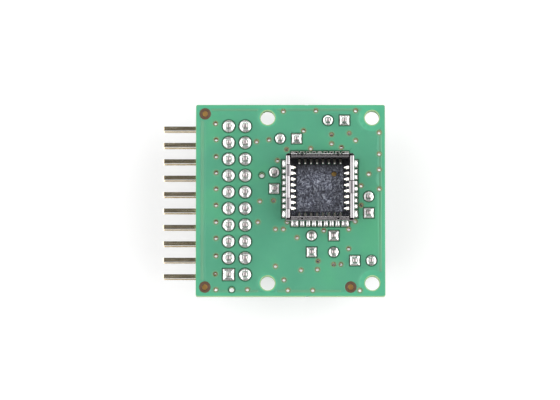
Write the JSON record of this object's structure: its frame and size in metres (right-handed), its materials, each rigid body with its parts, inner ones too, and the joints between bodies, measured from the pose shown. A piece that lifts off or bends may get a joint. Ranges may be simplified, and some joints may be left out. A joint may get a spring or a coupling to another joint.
{
  "type": "camera module breakout board",
  "caption": "Square green circuit board with a shielded spring-contact socket for a small module, a right-angle pin header along one edge, and pull-off jumper shunts underneath.",
  "frame": {"origin": "centre of the rectangle of four mounting holes, on the underside of the board (z = 0)", "axes": "+Z out of the board's upper face, on the socket side; +X across the board, away from the pin header, whose pins point along -X; +Y along the header rows"},
  "size_m": [0.0341, 0.0296, 0.0133],
  "materials": {
    "laminate": "glass-fibre laminate under green solder mask, satin gloss",
    "tinned_copper": "tinned copper",
    "via_copper": "copper under thin tin",
    "bare_copper": "bare copper",
    "socket_plastic": "black moulded plastic",
    "socket_floor_plastic": "dark glass-filled moulding, mottled",
    "shield_steel": "tinned stamped sheet",
    "contact_gold": "gold-plated spring bronze",
    "solder": "bright reflowed solder",
    "header_plastic": "black moulded plastic",
    "pin_bronze": "gold-flashed square pin, darkened",
    "shunt_plastic": "black moulded plastic",
    "shunt_bronze": "gold-flashed spring bronze",
    "chip_epoxy": "black moulding compound",
    "chip_leads": "matt tin",
    "oscillator_ceramic": "tan alumina",
    "oscillator_metal": "plated lid",
    "capacitor_ceramic": "tan sintered ceramic",
    "resistor_ceramic": "white alumina",
    "resistor_glaze": "black overglaze",
    "ferrite": "dark grey ferrite"
  },
  "bodies": {
    "board": {"circuit_board": "laminate", "header_hole_plating": "tinned_copper", "jumper_hole_plating": "tinned_copper", "via_plating": "via_copper", "fiducial_marks": "bare_copper", "socket_lands": "tinned_copper", "component_lands": "tinned_copper", "socket_floor": "socket_floor_plastic", "socket_frame": "socket_plastic", "socket_shield": "shield_steel", "socket_contacts_north": "contact_gold", "socket_contacts_south": "contact_gold", "socket_contacts_east": "contact_gold", "socket_contacts_west": "contact_gold", "socket_solder": "solder", "header_body": "header_plastic", "header_pins_upper": "pin_bronze", "header_pins_lower": "pin_bronze", "header_solder": "solder", "jumper_bases": "header_plastic", "jumper_pins": "pin_bronze", "jumper_solder": "solder", "core_regulator_body": "chip_epoxy", "core_regulator_leads": "chip_leads", "analog_regulator_body": "chip_epoxy", "analog_regulator_leads": "chip_leads", "io_regulator_body": "chip_epoxy", "io_regulator_leads": "chip_leads", "oscillator_base": "oscillator_ceramic", "oscillator_lid": "oscillator_metal", "capacitor_bodies": "capacitor_ceramic", "capacitor_ends": "chip_leads", "bulk_capacitor_body": "capacitor_ceramic", "bulk_capacitor_ends": "chip_leads", "resistor_bodies": "resistor_ceramic", "resistor_films": "resistor_glaze", "resistor_ends": "chip_leads", "ferrite_bodies": "ferrite", "ferrite_ends": "chip_leads"},
    "shunt_1": {"shunt_1_cap": "shunt_plastic", "shunt_1_clip": "shunt_bronze"},
    "shunt_2": {"shunt_2_cap": "shunt_plastic", "shunt_2_clip": "shunt_bronze"},
    "shunt_3": {"shunt_3_cap": "shunt_plastic", "shunt_3_clip": "shunt_bronze"},
    "shunt_4": {"shunt_4_cap": "shunt_plastic", "shunt_4_clip": "shunt_bronze"},
    "shunt_5": {"shunt_5_cap": "shunt_plastic", "shunt_5_clip": "shunt_bronze"},
    "shunt_6": {"shunt_6_cap": "shunt_plastic", "shunt_6_clip": "shunt_bronze"},
    "shunt_7": {"shunt_7_cap": "shunt_plastic", "shunt_7_clip": "shunt_bronze"}
  },
  "joints": [
    {"name": "shunt_1_pull", "type": "slide", "parent": "board", "child": "shunt_1", "axis": [0, 0, -1], "range_m": [0, 0.0075]},
    {"name": "shunt_2_pull", "type": "slide", "parent": "board", "child": "shunt_2", "axis": [0, 0, -1], "range_m": [0, 0.0075]},
    {"name": "shunt_3_pull", "type": "slide", "parent": "board", "child": "shunt_3", "axis": [0, 0, -1], "range_m": [0, 0.0075]},
    {"name": "shunt_4_pull", "type": "slide", "parent": "board", "child": "shunt_4", "axis": [0, 0, -1], "range_m": [0, 0.0075]},
    {"name": "shunt_5_pull", "type": "slide", "parent": "board", "child": "shunt_5", "axis": [0, 0, -1], "range_m": [0, 0.0075]},
    {"name": "shunt_6_pull", "type": "slide", "parent": "board", "child": "shunt_6", "axis": [0, 0, -1], "range_m": [0, 0.0075]},
    {"name": "shunt_7_pull", "type": "slide", "parent": "board", "child": "shunt_7", "axis": [0, 0, -1], "range_m": [0, 0.0075]}
  ]
}
